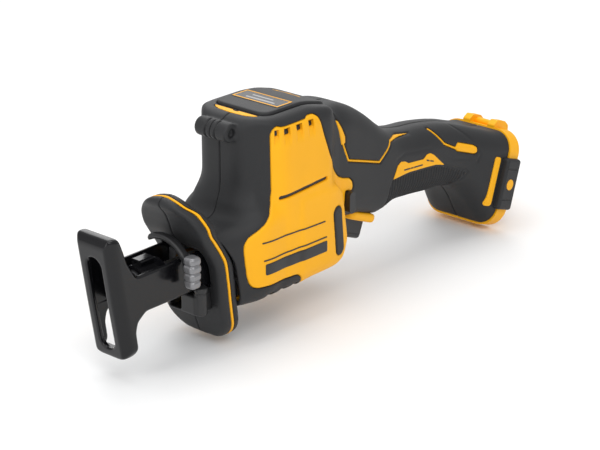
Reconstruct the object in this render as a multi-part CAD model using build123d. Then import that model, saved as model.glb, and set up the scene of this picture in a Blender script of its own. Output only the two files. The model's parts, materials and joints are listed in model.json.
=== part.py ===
from build123d import *
import math
import os

os.makedirs("parts", exist_ok=True)

# Compact one-handed reciprocating saw, bare tool.  Millimetres, +Z up, the shoe points to -X.
# Everything is drawn on a design datum (x = 0 at the guard, z = 0 just above the belly) and is
# shifted on export so that the origin sits at the mouth of the blade socket, on the stroke axis.

AXIS_Z = 16.0          # stroke axis above the design datum
SOCKET_X = -34.0       # mouth of the blade socket with the plunger at mid stroke
STROKE = 16.0          # full plunger stroke

# ---- housing
WALL = 2.6             # nylon wall
SKIN = 1.6             # rubber overmold
BODY_HALF = 28.5       # half width of the motor tower and gear case
TOWER_FRONT = 28.5
TOWER_REAR = 97.0
TOWER_TOP = 86.5
BELLY = -9.5
FOOT_TILT = 18.0       # the battery foot leans back by this angle
FOOT_X, FOOT_Z = 246.5, -2.5
FOOT_HALF_W, FOOT_HALF_H = 25.0, 27.5
RIM_DEPTH = 9.0

# ---- guard
GUARD_HALF = 21.5
GUARD_DEPTH = 11.7
STRIPE = 1.6

# ---- shoe
SHOE_HALF = 12.5
SHEET = 2.6
SLOT_HALF = 5.0

# ---- drive
MODULE = 1.0
PINION_TEETH, GEAR_TEETH = 8, 40
CRANK_X = 41.5
MOTOR_X = CRANK_X + MODULE * (PINION_TEETH + GEAR_TEETH) / 2
GEAR_Z0, GEAR_Z1 = 22.5, 27.5
ROD_R = 4.0
CRANK_R = STROKE / 2
STATOR_R, ROTOR_R = 21.5, 12.0
SHAFT_R = 2.5

BIG = 400.0


def ship(node, shape):
    export_step(shape.moved(Location((-SOCKET_X, 0, -AXIS_Z))), "parts/" + node + ".step")


def side(points, half, radii=0.0):
    """Outline in the XZ plane, given as x, z points, drawn out to +-half in Y."""
    return extrude(side_face(points, radii), amount=half, both=True)


def side_face(points, radii=0.0):
    face = make_face(Polyline(*[(x, z) for x, z in points], close=True))
    if radii:
        face = fillet(face.vertices(), radii)
    return Plane.XZ * face


def slab(x0, x1, y0, y1, z0, z1):
    return Pos((x0 + x1) / 2, (y0 + y1) / 2, (z0 + z1) / 2) * Box(x1 - x0, y1 - y0, z1 - z0)


def post(x, y, z0, z1, r):
    return Pos(x, y, (z0 + z1) / 2) * Cylinder(r, z1 - z0)


def along_x(x0, x1, r, y=0.0, z=AXIS_Z):
    return Pos((x0 + x1) / 2, y, z) * Rot(0, 90, 0) * Cylinder(r, abs(x1 - x0))


def along_y(x, y0, y1, z, r):
    return Pos(x, (y0 + y1) / 2, z) * Rot(90, 0, 0) * Cylinder(r, abs(y1 - y0))


def near(shape):
    """The -Y half."""
    return shape & slab(-BIG, BIG, -BIG, 0, -BIG, BIG)


def far(shape):
    return shape & slab(-BIG, BIG, 0, BIG, -BIG, BIG)


def section(x, z_lo, z_hi, half_w, r, cut, tilt=0.0):
    a = math.radians(tilt)
    plane = Plane(origin=(x, 0, (z_lo + z_hi) / 2), x_dir=(0, 1, 0),
                  z_dir=(math.cos(a), 0, -math.sin(a)))
    w, h = 2 * (half_w - cut), z_hi - z_lo - 2 * cut
    return plane * RectangleRounded(w, h, min(max(r - cut * 0.6, 1.0), w / 2 - 0.4, h / 2 - 0.4))


# ------------------------------------------------------------------ outer form of the housing
def tower(cut):
    """Motor tower and gear case: side view, plan view and front view all trimmed together."""
    outline = [(TOWER_FRONT, BELLY), (62, BELLY), (69, -6.5), (84, -6.5), (94, -2.0), (TOWER_REAR, 9),
               (TOWER_REAR, 76), (89, 81.5), (70, TOWER_TOP), (36, TOWER_TOP), (TOWER_FRONT, 82)]
    plan = [(TOWER_FRONT, -12), (TOWER_FRONT + 5, -20), (42, -26), (52, -BODY_HALF), (83, -BODY_HALF),
            (TOWER_REAR, -17), (TOWER_REAR, 17), (83, BODY_HALF), (52, BODY_HALF), (42, 26),
            (TOWER_FRONT + 5, 20), (TOWER_FRONT, 12)]
    side_view = extrude(Plane.XZ * offset(smooth(outline, 3.0), -cut), amount=60, both=True)
    plan_view = Pos(0, 0, -60) * extrude(offset(smooth(plan, 6.0), -cut), amount=200)
    mid = (TOWER_TOP + BELLY) / 2
    front_view = Plane(origin=(0, 0, mid), x_dir=(0, 1, 0), z_dir=(1, 0, 0)) * RectangleRounded(
        2 * (BODY_HALF - cut), TOWER_TOP - BELLY - 2 * cut, 11 - cut * 0.6)
    return side_view & plan_view & extrude(front_view, amount=200)


def smooth(points, r):
    face = make_face(Polyline(*points, close=True))
    return fillet(face.vertices(), r)


def nose(cut):
    """Gear nose that flares out of the guard into the tower."""
    stations = [(3.0, -8.5, 32.0, 19.0, 7), (14.0, -9.2, 33.0, 21.0, 8), (24.0, BELLY, 35.5, 25.0, 9),
                (34.0, BELLY, 40.5, 28.0, 10), (46.0, BELLY, 45.0, BODY_HALF, 11)]
    return loft([section(x, lo, hi, w, r, cut) for x, lo, hi, w, r in stations])


def handle(cut):
    """Neck behind the tower, grip and the flare down to the battery foot."""
    grip = [(92.0, 15.0, 76.0, 20.8, 12), (105.0, 13.0, 76.4, 20.4, 13), (118.0, 9.0, 72.0, 19.2, 14),
            (130.0, 5.4, 65.0, 18.2, 14), (142.0, 4.0, 56.0, 17.8, 14), (153.0, 6.4, 49.0, 17.4, 14),
            (167.0, 5.8, 45.2, 17.3, 14), (184.0, 4.0, 43.4, 17.4, 14), (200.0, 2.6, 40.6, 17.8, 14)]
    shapes = [section(x, lo, hi, w, r, cut) for x, lo, hi, w, r in grip]
    flare = [(213.0, -0.5, 36.5, 19.4, 13, 7.0), (224.0, -10.5, 32.0, 22.3, 12, 13.0),
             (232.0, -20.5, 29.0, 24.2, 11, 17.0)]
    shapes += [section(x, lo, hi, w, r, cut, tilt) for x, lo, hi, w, r, tilt in flare]
    shapes.append(foot_face(-RIM_DEPTH, cut))
    return loft(shapes)


def foot_plane(along):
    """Plane of the battery face, moved outwards along its normal."""
    a = math.radians(FOOT_TILT)
    return Plane(origin=(FOOT_X + along * math.cos(a), 0, FOOT_Z - along * math.sin(a)),
                 x_dir=(0, 1, 0), z_dir=(math.cos(a), 0, -math.sin(a)))


def foot_face(along, cut, r=11.0):
    return foot_plane(along) * RectangleRounded(2 * (FOOT_HALF_W - cut), 2 * (FOOT_HALF_H - cut),
                                                max(r - cut * 0.6, 1))


def heel(cut):
    """Lower rear corner of the gear case, boxier than the tower above it."""
    half = BODY_HALF - 0.15
    outline = [(60, BELLY + 0.3), (69, -6.3), (88, -6.3), (97, -3.0), (101, 6), (95.5, 34), (90, 40), (60, 40)]
    plan = [(60, -half), (85, -half), (103, -half + 3.6), (103, half - 3.6), (85, half), (60, half)]
    side_view = extrude(Plane.XZ * offset(smooth(outline, 2.5), -cut), amount=60, both=True)
    plan_view = Pos(0, 0, -60) * extrude(offset(smooth(plan, 3.0), -cut), amount=200)
    front_view = Plane(origin=(0, 0, 17.2), x_dir=(0, 1, 0), z_dir=(1, 0, 0)) * RectangleRounded(
        2 * (half - cut), 53.2 - 2 * cut, 10.7 - cut * 0.6)
    return side_view & plan_view & extrude(front_view, amount=200)


def housing(cut):
    return tower(cut) + heel(cut) + nose(cut) + handle(cut)


# ------------------------------------------------------------------ guard
def guard_band(d0, d1, half=40.0):
    """Leaning sheet between two distances behind the guard's front face."""
    front = [(-13.5, 60), (-13.2, 50), (-9.8, 45.5), (-7.2, 40), (-5.0, 34), (-2.0, 29), (1.5, 23.5),
             (4.5, 18), (6.5, 8), (8.0, -5), (9.8, -16), (12.0, -22), (15.5, -30)]
    one = Spline(*[(x + d0, z) for x, z in front])
    two = Spline(*[(x + d1, z) for x, z in reversed(front)])
    face = make_face(one + two + Line(one @ 1, two @ 0) + Line(two @ 1, one @ 0))
    return extrude(Plane.XZ * face, amount=half, both=True)


def guard_outline(cut):
    """Front view of the guard, drawn from x = -40 to 60."""
    half = GUARD_HALF
    shape = Polyline((0, -27.0), (11, -26.6), (17.5, -22), (half, -15.5), (half, 40.5), (17.5, 46.5),
                     (9, 52.5), (0, 54.5))
    face = make_face(shape + Line((0, 54.5), (0, -27.0)))
    face = fillet([v for v in face.vertices() if v.X > 5], 5.0)
    face = face + mirror(face, Plane.YZ)
    if cut:
        face = offset(face, -cut)
    plane = Plane(origin=(-40, 0, 0), x_dir=(0, 1, 0), z_dir=(1, 0, 0))
    return extrude(plane * face, amount=100)


def arm_gap(extra):
    """Way through the guard and the housing for the shoe arm."""
    return slab(-40, 40, -SHOE_HALF - extra, SHOE_HALF + extra, 5.0 - extra, 25.0 + extra)


guard_full = guard_band(0, GUARD_DEPTH) & guard_outline(0)
guard_pocket = guard_band(4.0, GUARD_DEPTH + 1) & guard_outline(4.5)
stripe = (guard_band(5.0, 5.0 + STRIPE) & guard_outline(-0.5)) - guard_outline(1.6)
lamp_block = slab(-3.5, 12, -13.5, 6.5, -8.0, 2.6) + post(0.5, -13.6, -8.0, 3.2, 7.0)
lamp_block = lamp_block - guard_band(0.0, 60)
lamp_hole = Pos(-1.5, 0.6, -3.2) * Rot(0, 90, 0) * Box(7.0, 8.0, 16.0)
guard = guard_full - guard_pocket - stripe - arm_gap(1.4) - lamp_hole
ship("guard_left", near(guard))
ship("guard_right", far(guard))
ship("guard_stripe", stripe)
ship("lamp_housing", lamp_block - lamp_hole)
lamp_seat = slab(4.6, 6.4, -3.4, 4.6, -6.7, 0.3)
ship("lamp_lens", lamp_seat + Pos(4.6, 0.6, -3.2) * Sphere(1.7))

# ------------------------------------------------------------------ shoe
shoe_profile = [(-49.5, -18.0), (-55.0, 14.0), (-59.5, 43.5), (-57.8, 48.2), (-52.5, 48.5), (-49.8, 42.0),
                (-47.0, 34.0), (-41.5, 25.0), (6.0, 25.0), (8.0, 22.0), (22.0, 22.0), (22.0, 5.0),
                (-35.5, 5.0), (-41.0, 1.0), (-42.3, -4.0), (-41.0, -13.0), (-43.0, -18.5)]
shoe_radii = [3.0, 0, 1.2, 1.2, 2.0, 4.0, 4.0, 2.5, 0.8, 0.8, 1.0, 1.0, 6.0, 3.0, 4.0, 2.0, 2.0]


def rounded_profile(points, radii, cut=0.0):
    face = make_face(Polyline(*points, close=True))
    for (x, z), r in zip(points, radii):
        if r:
            near_v = sorted(face.vertices(), key=lambda v: (v.X - x) ** 2 + (v.Y - z) ** 2)[:1]
            face = fillet(near_v, r)
    return Plane.XZ * (offset(face, -cut) if cut else face)


shoe = extrude(rounded_profile(shoe_profile, shoe_radii), amount=SHOE_HALF, both=True)
for sign in (-1, 1):
    corner = [(-70, sign * 9.0), (-55.5, sign * 9.0), (-50.0, sign * (SHOE_HALF + 0.1)), (-70, sign * 20)]
    lean = math.degrees(math.atan2(9.5, 58))
    bevel = Pos(0, 0, -80) * extrude(make_face(Polyline(*corner, close=True)), amount=160)
    shoe = shoe - Pos(-54.7, 0, 14) * Rot(0, -lean, 0) * Pos(54.7, 0, -14) * bevel
front_view = Plane(origin=(-70, 0, 15), x_dir=(0, 1, 0), z_dir=(1, 0, 0)) * Rectangle(25.2, 67.2)
front_view = fillet([v for v in front_view.vertices() if v.Z > 15], 3.5)
front_view = fillet([v for v in front_view.vertices() if v.Z < -18], 8.0)
shoe = shoe & extrude(front_view, amount=100)
inner_half = SHOE_HALF - SHEET
bar_room = [(-46.6, -15.2), (-52.3, 14.0), (-56.5, 43.0), (-55.0, 45.6), (-46, 46.5), (-40, 44), (-36, 7.4),
            (-38, -15.2)]
shoe = shoe - side(bar_room, inner_half, 1.0)
shoe = shoe - slab(-50, 30, -inner_half, inner_half, 7.0, 60)
slot = Plane(origin=(-70, 0, 12), x_dir=(0, 1, 0), z_dir=(1, 0, 0)) * SlotOverall(50, 2 * SLOT_HALF,
                                                                                rotation=90)
shoe = shoe - extrude(slot, amount=24.0)
BOLT_X = (13.0, 19.0)
for x in BOLT_X:
    shoe = shoe - along_y(x, -20, 20, 13.5, 1.6)
ship("shoe", shoe)
bolts = [along_y(x, s * 12.55, s * 14.4, 13.5, 2.6) + along_y(x, s * 7.0, s * 12.55, 13.5, 1.55)
         for x in BOLT_X for s in (-1, 1)]
ship("shoe_bolts", Compound(bolts))

# ------------------------------------------------------------------ plunger, blade clamp, release lever
ROD_END = 76.0
rod = along_x(-24, ROD_END, ROD_R)
yoke = slab(CRANK_X - 8, CRANK_X + 8, -15, 15, 10.8, 21.2)
yoke = yoke - slab(CRANK_X - 4.1, CRANK_X + 4.1, -12.1, 12.1, 9, 23)
plunger = rod - slab(CRANK_X - 4.1, CRANK_X + 4.1, -12.1, 12.1, 9, 23) + yoke
CLAMP_BACK = -15.0
blade_slot = slab(SOCKET_X - 1, -20.5, -0.75, 0.75, AXIS_Z - 6.4, AXIS_Z + 6.4)
clamp = along_x(SOCKET_X, CLAMP_BACK, 6.6) - along_x(-24.0, CLAMP_BACK + 1, ROD_R) - blade_slot
clamp_pin = along_x(-2.2, 2.2, 1.4, z=0).moved(Location((-25.6, 3.2, AXIS_Z), (0, 0, 90)))
clamp = clamp - along_y(-25.6, 0.75, 7.0, AXIS_Z, 1.5)
ship("plunger", plunger - blade_slot)
ship("clamp_body", clamp)
ship("clamp_pin", along_y(-25.6, 0.9, 6.2, AXIS_Z, 1.45))
sleeve = along_x(-32.0, -16.0, 8.6) - along_x(-33, -15, 6.65)
lug = slab(-30.0, -21.0, -3.4, 3.4, AXIS_Z + 7.6, AXIS_Z + 11.4)
lug = fillet(lug.edges().filter_by(Axis.X), 1.2)
sleeve = sleeve + lug - along_x(-33, -15, 6.65)
for k in range(12):
    rib = Pos(-18.6, 0, AXIS_Z) * Rot(k * 30 + 15, 0, 0) * Pos(0, 0, 8.9) * Box(3.6, 1.2, 1.2)
    sleeve = sleeve - rib
ship("clamp_sleeve", sleeve)

RING_IN, RING_OUT = 16.4, 19.4
LEVER_SWEEP = 35.0
ring = along_x(-13.6, -8.8, RING_OUT) - along_x(-14, -8, RING_IN)
ring = ring - slab(-20, 0, -2, 40, -10, 27.5) - slab(-20, 0, -40, 40, -10, 12.0)
ring = ring - slab(-20, 0, 9, 40, -10, 60)
paddle_x, paddle_y = -13.0, -21.4
ring = ring + slab(-13.6, -8.8, -21.5, -15.6, 20.5, 27.5)
ring = ring - along_x(-14, -8, RING_IN)
paddle = post(paddle_x, paddle_y, 13.0, 29.5, 3.9)
for k in range(3):
    groove = post(paddle_x, paddle_y, 17.0 + 4.2 * k, 17.9 + 4.2 * k, 6) - post(paddle_x, paddle_y, 10, 40, 3.3)
    paddle = paddle - groove
ring = ring - post(paddle_x, paddle_y, 12.9, 29.6, 3.92)
ship("release_ring", ring)
ship("release_lever", paddle)

# ------------------------------------------------------------------ trigger and lock-off button
TRIGGER_TILT = 22.0
TRIGGER_TRAVEL = 6.0
tilt = math.radians(TRIGGER_TILT)
trigger_plane = Plane(origin=(125.0, 0, 5.2), x_dir=(math.cos(tilt), 0, -math.sin(tilt)),
                      z_dir=(math.sin(tilt), 0, math.cos(tilt)))


def trigger_block(length, width, z0, z1, r, shift=0.0):
    profile = Pos(shift, 0, z0) * RectangleRounded(length, width, r)
    return trigger_plane * extrude(profile, amount=z1 - z0)


trigger = trigger_block(21.0, 16.0, -10.5, 12.0, 3.0)
finger_dip = trigger_plane * Pos(-15.5, 0, -9.5) * Rot(90, 0, 0) * Cylinder(8.5, 40)
trigger = trigger - finger_dip
ship("trigger", trigger)
collar = trigger_block(26.0, 29.0, 0.0, 5.0, 6.0) - trigger_block(21.8, 16.8, -1, 6, 3.4)
trigger_room = trigger_block(21.8, 16.8, -20, 24.0, 3.4)

LOCK_X, LOCK_Z = 105.4, 24.0
LOCK_TRAVEL = 6.0
lock_shape = Plane(origin=(LOCK_X, 0, LOCK_Z), x_dir=(1, 0, 0), z_dir=(0, -1, 0))
button = extrude(lock_shape * SlotOverall(12.0, 4.6, rotation=90), amount=23.4, both=True)
button = button - slab(LOCK_X - 4, LOCK_X + 4, -6, 6, LOCK_Z + 2.0, LOCK_Z + 10)
ship("lock_button", button)
lock_room = extrude(lock_shape * SlotOverall(12.8, 5.4, rotation=90), amount=60, both=True)

# ------------------------------------------------------------------ clamshell halves and overmold
outer = housing(0)
core = housing(SKIN)
cavity = tower(SKIN + WALL) + nose(SKIN + WALL) + handle(SKIN + WALL)

panel = [(41.2, 78.6), (44.6, 82.3), (69.0, 82.3), (74.0, 79.6), (78.0, 69.4), (82.5, 58.2), (93.5, 43.8),
         (102.6, 37.4), (102.6, -5.9), (61.6, -5.9), (57.6, -1.4), (53.5, 0.2), (26.6, 0.9), (22.4, 6.4),
         (20.9, 24.6), (23.4, 28.8), (35.4, 35.0), (40.2, 39.4), (41.6, 45.0)]
windows = side(panel, 60, 1.6) - slab(-BIG, BIG, -12, 12, -BIG, BIG)
lock_tab = [(95.0, 40.6), (101.2, 38.4), (106.5, 37.0), (109.3, 34.6), (110.1, 31.2), (109.0, 28.4), (95.0, 33.0)]
windows = windows + (side(lock_tab, 60, 0.8) - slab(-BIG, BIG, -12, 12, -BIG, BIG))


def ribbon(points, width):
    """Narrow inlay that follows a bent line on the side of the grip."""
    pieces = [side([(ax - nx, az - nz), (bx - nx, bz - nz), (bx + nx, bz + nz), (ax + nx, az + nz)], 60)
              for ax, az, bx, bz, nx, nz in bent(points, width)]
    for x, z in points[1:-1]:
        pieces.append(along_y(x, -60, 60, z, width / 2))
    joined = pieces[0]
    for piece in pieces[1:]:
        joined = joined + piece
    return joined


def bent(points, width):
    for (ax, az), (bx, bz) in zip(points, points[1:]):
        run = math.hypot(bx - ax, bz - az)
        yield ax, az, bx, bz, -(bz - az) / run * width / 2, (bx - ax) / run * width / 2


front_line = [(97.5, 69.0), (101.6, 56.0), (105.8, 46.8), (134.4, 37.6), (138.0, 40.2), (145.5, 46.2),
              (169.0, 43.6), (170.5, 45.2), (164.0, 52.0)]
rear_line = [(180.0, 49.5), (187.0, 40.6), (193.0, 32.4), (204.0, 26.6), (217.0, 22.6)]
ribbons = ribbon(front_line, 1.3) + ribbon(rear_line, 1.3)
blade_mark = [(95.6, 71.0), (98.2, 70.4), (103.0, 60.8), (103.0, 57.0), (99.6, 56.6)]
rear_mark = [(201.0, 28.0), (204.5, 30.6), (216.4, 26.4), (219.0, 24.6), (219.0, 21.6), (216.8, 20.9),
             (203.0, 25.6)]
ribbons = ribbons + side(blade_mark, 60) + side(rear_mark, 60)
ribbons = ribbons - slab(-BIG, BIG, -9, 9, -BIG, BIG)
windows = windows + ribbons

side_vents = [slab(x0, x1, -60, 60, 76.6, 79.9) for x0, x1 in ((43.4, 45.4), (48.3, 52.2), (56.9, 61.1), (66.1, 69.7))]
vents = side_vents[0] + side_vents[1:]
vents = vents - slab(-BIG, BIG, -15, 15, -BIG, BIG)
side_slot = side([(45.2, 43.0), (80.5, 45.1), (80.5, 46.9), (45.2, 45.0)], 60)
side_slot = side_slot & slab(40, 90, -BODY_HALF - 1, -BODY_HALF + 1.2, 40, 50)
side_slot = side_slot + mirror(side_slot, Plane.XZ)

BOSS_X, BOSS_Z, BOSS_R = 27.2, 79.6, 5.0
boss = along_y(BOSS_X, -12.0, 12.0, BOSS_Z, BOSS_R)
boss = boss + slab(BOSS_X, TOWER_FRONT + 6, -12, 12, BOSS_Z - BOSS_R, BOSS_Z + BOSS_R)
boss_holes = along_y(BOSS_X, -13.0, -9.0, BOSS_Z, 2.4) + along_y(BOSS_X, 9.0, 13.0, BOSS_Z, 2.4)
boss_groove = along_y(BOSS_X, -1.2, 1.2, BOSS_Z, BOSS_R + 1) - along_y(BOSS_X, -2, 2, BOSS_Z, BOSS_R - 0.7)
boss_groove = boss_groove - slab(TOWER_FRONT + 0.5, 60, -2, 2, 60, 100)

cap_outline = [(43.5, 78), (43.5, TOWER_TOP + 1.3), (70, TOWER_TOP + 1.3), (90, TOWER_TOP - 4.2), (93, 78)]
cap_plan = extrude(Pos(67.5, 0, 60) * RectangleRounded(46, 36, 7), amount=60)
cap_full = side(cap_outline, 30) & cap_plan
cap = cap_full - core.moved(Location((0, 0, -0.6)))
cap_pocket = cap
inlays = [slab(38.2, 42.0, y0, y1, TOWER_TOP - 1.4, TOWER_TOP + 0.25) for y0, y1 in ((-14, -1.3), (1.3, 14))]
label = slab(55.2, 66.8, -15.6, 15.6, TOWER_TOP + 1.0, TOWER_TOP + 1.7)
label = fillet(label.edges().filter_by(Axis.Z), 1.0)

name_strip = side([(33.0, 6.6), (33.0, 12.6), (79.0, 12.2), (79.0, 6.2)], 60, 0.8)
strips = (housing(-0.35) - housing(0.7)) & name_strip
badge = [(146.4, 24.4), (148.6, 28.2), (150.0, 31.0), (153.0, 32.8), (157.0, 31.9), (159.5, 30.2), (173.0, 28.9),
         (176.0, 30.9), (179.0, 30.9), (182.5, 28.8), (191.5, 20.8), (184.0, 22.9), (173.0, 23.9), (160.0, 24.9)]
badges = (handle(-0.35) - handle(0.7)) & side(badge, 60, 0.5) & slab(100, 230, -BIG, BIG, 0, 60)

# rear corner pads lie on the facets of the heel
facet = Plane(origin=(89.7, -27.3, 14.3), x_dir=(0.9806, 0.1961, 0), z_dir=(0.1961, -0.9806, 0))
pad_left = extrude(facet * SlotOverall(28.6, 7.4, rotation=96), amount=1.3, both=True)
pad_left = pad_left & housing(-0.45)
pads = [pad_left, mirror(pad_left, Plane.XZ)]

# ---- battery foot
rim = extrude(foot_face(0.0, -0.8, 12), amount=-RIM_DEPTH)
socket_profile = foot_plane(0) * RectangleRounded(38, 43, 6)
socket_room = extrude(socket_profile, amount=-20) + extrude(socket_profile, amount=5)
rim = rim - socket_room
rail = foot_plane(0) * Pos(17.6, 0, -3.0) * Box(3.8, 34, 2.4)
rim = rim + rail + mirror(rail, Plane.XZ)
ear_profile = [(246.5, 22.0), (246.6, 28.6), (250.4, 30.6), (257.5, 28.4), (260.6, 25.2), (260.2, 17.0),
               (254.0, 15.0)]
ear = side(ear_profile, 2.4, 1.4)
ears = Pos(0, -8.7, 0) * ear + Pos(0, 8.7, 0) * ear
rim = rim + (ears - socket_room)
bumpers, plugs, bars = [], [], []
for s in (-1, 1):
    at = foot_plane(0)
    block = at * Pos(s * 25.6, -1.5, -6.2) * Box(6.4, 30.0, 13.4)
    block = fillet(block.edges(), 1.8)
    for v in (-9.0, 9.0):
        block = block - at * Pos(s * 29.2, -1.5 + v, -6.2) * Box(1.6, 0.9, 20)
    hole = at * Pos(s * 27.0, -1.5, -6.6) * Rot(0, 90, 0) * Cylinder(3.2, 8)
    plugs.append(at * Pos(s * 26.9, -1.5, -6.6) * Rot(0, 90, 0) * Cylinder(3.15, 4.0))
    bumpers.append(block - hole)
    bar = at * Pos(s * 23.6, -1.2, -17.4) * Box(4.0, 29.0, 4.4)
    bars.append(fillet(bar.edges().filter_by(lambda e: abs(e.tangent_at(0).Y) > 0.9), 1.6))
bar_zone = housing(-0.5) - housing(1.4)
bars = [bar & bar_zone for bar in bars]
hang_bar = along_y(254.0, -8.7, 8.7, 26.2, 1.9)

insets = [strips, badges, *pads, *bumpers, *plugs, *bars, *inlays, cap_pocket, lock_room, collar,
          trigger_room, vents, side_slot, arm_gap(1.4)]


SCREW_SPOTS = [(37.0, 78.2, 24), (89.0, 74.0, 21), (108.0, 62.0, 17), (150.0, 13.0, 13),
               (197.0, 34.0, 13), (216.0, 1.0, 17)]
screws, screw_holes, pillars = [], [], []
for x, z, reach in SCREW_SPOTS:
    screws.append(along_y(x, -8, reach - 3, z, 1.4) + along_y(x, reach - 3, reach - 0.6, z, 2.6))
    screw_holes.append(along_y(x, -8.2, reach - 3, z, 1.42) + along_y(x, reach - 3, 40, z, 2.65))
    pillars.append(along_y(x, -40, 40, z, 3.3))
pillars = (pillars[0] + pillars[1:]) & core

front_room = guard_band(-80, GUARD_DEPTH)
rubber = outer + boss - [core, windows, *insets, boss_holes, boss_groove, front_room, *screw_holes]
nylon = core + (outer & windows) - (cavity - pillars)
nylon = nylon - [*insets, boss, front_room, *screw_holes]


def big_pieces(shape, least=60.0):
    return Compound([piece for piece in shape.solids() if piece.volume > least])


for name, shape in (("overmold", rubber), ("shell", nylon)):
    ship(name + "_left", big_pieces(near(shape)))
    ship(name + "_right", big_pieces(far(shape)))
ship("name_strip_left", near(strips))
ship("name_strip_right", far(strips))
ship("grip_badge_left", near(badges))
ship("grip_badge_right", far(badges))
ship("motor_cap", cap - label)
ship("cap_inlays", Compound(inlays))
ship("cap_label", label)
ship("foot_rim", rim - [*bumpers, *plugs, hang_bar])
ship("hang_bar", hang_bar)
for k, name in enumerate(("left", "right")):
    ship("corner_pad_" + name, pads[k])
    ship("foot_bumper_" + name, bumpers[k])
    ship("bumper_plug_" + name, plugs[k])
    ship("foot_bar_" + name, bars[k])
ship("trigger_collar", collar)
ship("case_screws", Compound(screws))

# ------------------------------------------------------------------ gear case and drive
BUSH_R = 5.8
case = slab(23.0, 82.0, -17, 17, -4.0, 22.0) + slab(2.0, 23.0, -9.7, 9.7, 7.8, 21.6)
case = case - slab(25.1, 57.9, -15.5, 15.5, 10.3, 30)
case = case - along_x(0, 16.6, BUSH_R) - along_x(16.0, 26.0, 4.6) - along_x(57.9, 67.0, BUSH_R)
case = case - along_x(66.0, 90.0, 4.6) - slab(28.0, 78.0, -14, 14, -6, 7.0)
case = case - slab(61.0, 90.0, -20, 20, -6, -1.9)
for x in BOLT_X:
    case = case - along_y(x, -12, 12, 13.5, 1.6)
case = case - slab(MOTOR_X - 6.5, MOTOR_X + 6.5, -6, 6, 20.9, 30)
for s in (-1, 1):
    case = case + slab(70.0, 80.0, s * 14.8 - 2.2, s * 14.8 + 2.2, 22.0, 28.2)
ship("gear_case", case)
ship("front_bush", along_x(2.2, 16.5, BUSH_R) - along_x(0, 20, ROD_R + 0.05))
ship("rear_bush", along_x(58.0, 67.0, BUSH_R) - along_x(40, 70, ROD_R + 0.05))

cover = slab(35.0, 84.0, -17, 17, 28.2, 31.4) + post(MOTOR_X, 0, 31.4, 36.4, 9.0)
cover = cover - post(MOTOR_X, 0, 31.9, 37, 6.5) - post(MOTOR_X, 0, 27, 32, 4.0)
cover = cover - post(CRANK_X, 0, 28, 31.5, 4.0)
ship("gear_cover", cover)
ship("crank_axle", post(CRANK_X, 0, 22.7, 31.4, 4.0))


def gear_face(teeth, tip, root, tip_width, root_width, turn=0.0):
    """Flat gear outline with straight-sided teeth."""
    points = []
    for k in range(teeth):
        mid = 2 * math.pi * k / teeth + turn
        for radius, half in ((root, -root_width / 2), (tip, -tip_width / 2), (tip, tip_width / 2),
                             (root, root_width / 2)):
            a = mid + half / radius
            points.append((radius * math.cos(a), radius * math.sin(a)))
    return make_face(Polyline(*points, close=True))


gear_pitch, pinion_pitch = MODULE * GEAR_TEETH / 2, MODULE * PINION_TEETH / 2
wheel = Pos(CRANK_X, 0, GEAR_Z0) * extrude(
    gear_face(GEAR_TEETH, gear_pitch + 0.55, gear_pitch - 1.15, 0.55, 1.75), amount=GEAR_Z1 - GEAR_Z0)
wheel = wheel - post(CRANK_X, 0, 20, 30, 4.05) - post(CRANK_X, -CRANK_R, 20, 30, 2.5)
for k in range(5):
    a = math.radians(-90 + 60 * (k + 1))
    wheel = wheel - post(CRANK_X + 12 * math.cos(a), 12 * math.sin(a), 20, 30, 3.2)
ship("crank_gear", wheel)
ship("crank_pin", post(CRANK_X, -CRANK_R, 21.5, GEAR_Z1, 2.5))

pinion = Pos(MOTOR_X, 0, 22.3) * extrude(
    gear_face(PINION_TEETH, pinion_pitch + 0.5, pinion_pitch - 1.0, 0.5, 1.55,
              math.pi / PINION_TEETH + math.pi), amount=5.4)
ship("motor_pinion", pinion - post(MOTOR_X, 0, 20, 30, SHAFT_R))
ship("motor_shaft", post(MOTOR_X, 0, 22.0, 77.0, SHAFT_R))
core_stack = post(MOTOR_X, 0, 41.5, 62.5, ROTOR_R) - post(MOTOR_X, 0, 40, 65, SHAFT_R)
ship("rotor", core_stack)
hub = post(MOTOR_X, 0, 67.4, 71.8, 6.0) + post(MOTOR_X, 0, 67.4, 68.4, 19.0)
for k in range(11):
    blade = Pos(MOTOR_X, 0, 70.0) * Rot(0, 0, 360 / 11 * k) * Pos(11.8, 0, 0) * Rot(0, 0, 28)
    hub = hub + blade * Box(12.6, 1.2, 3.4)
ship("cooling_fan", (hub & post(MOTOR_X, 0, 60, 80, 19.0)) - post(MOTOR_X, 0, 60, 80, SHAFT_R))



def ring_of(z0, z1, r_out, r_in):
    return post(MOTOR_X, 0, z0, z1, r_out) - post(MOTOR_X, 0, z0 - 1, z1 + 1, r_in)


ship("motor_stator", ring_of(41.0, 63.0, STATOR_R, ROTOR_R + 0.6))
ship("stator_windings", Compound([ring_of(37.4, 41.0, 19.5, 13.2), ring_of(63.0, 66.6, 19.5, 13.2)]))
inside = tower(SKIN + WALL + 0.15)
ship("motor_mount", ring_of(45.0, 59.0, 24.0, STATOR_R) & inside)
ship("lower_bearing", ring_of(31.9, 36.2, 6.5, SHAFT_R + 0.05))
ship("upper_bearing", ring_of(72.9, 76.1, 6.5, SHAFT_R + 0.05))
bracket = slab(MOTOR_X - 16, MOTOR_X + 14, -7, 7, 72.7, 76.3)
bracket = (bracket + slab(MOTOR_X - 7, MOTOR_X + 7, -23.6, 23.6, 72.7, 76.3)) & inside
ship("motor_bracket", bracket - post(MOTOR_X, 0, 70, 80, 6.5))

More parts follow.
